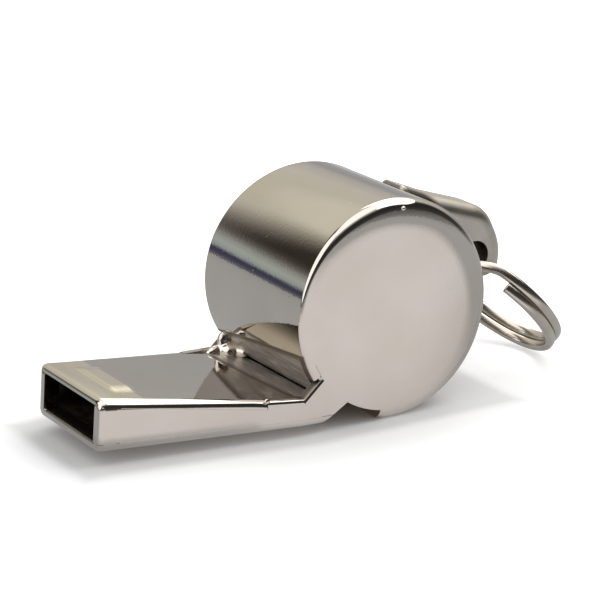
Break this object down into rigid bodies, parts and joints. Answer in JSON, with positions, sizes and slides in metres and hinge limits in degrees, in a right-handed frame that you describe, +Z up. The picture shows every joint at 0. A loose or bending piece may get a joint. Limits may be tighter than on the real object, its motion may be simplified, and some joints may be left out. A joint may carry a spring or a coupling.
{
  "type": "pea whistle",
  "caption": "Metal pea whistle with a rolled barrel, soldered side plates, tapered mouthpiece, cork pea, and a split ring in a lug for a lanyard.",
  "frame": {"origin": "Under the middle of the whole whistle's box, on the surface that the barrel stands on.", "axes": "+X runs from the mouthpiece to the lanyard ring, +Y is along the barrel's axis to the left side plate, +Z is up."},
  "size_m": [0.0506, 0.017, 0.02],
  "materials": {
    "nickel_plate": "polished nickel plate on brass",
    "ring_steel": "nickel-plated spring steel",
    "cork": "natural cork"
  },
  "bodies": {
    "whistle_body": {"right_side_plate": "nickel_plate", "left_side_plate": "nickel_plate", "barrel_band": "nickel_plate", "mouthpiece_roof": "nickel_plate", "mouthpiece_floor": "nickel_plate", "lanyard_lug": "nickel_plate"},
    "ring": {"split_ring": "ring_steel"},
    "pea": {"cork_pea": "cork"}
  },
  "joints": [
    {"name": "ring_swing", "type": "hinge", "parent": "whistle_body", "child": "ring", "pos_m": [0.01491, 0, 0.0115], "axis": [0.0958, -0.9954, 0], "range_deg": [-45, 155]},
    {"name": "pea_roll", "type": "hinge", "parent": "whistle_body", "child": "pea", "pos_m": [0.00301, 0, 0.01], "axis": [0, 1, 0], "continuous": true}
  ]
}
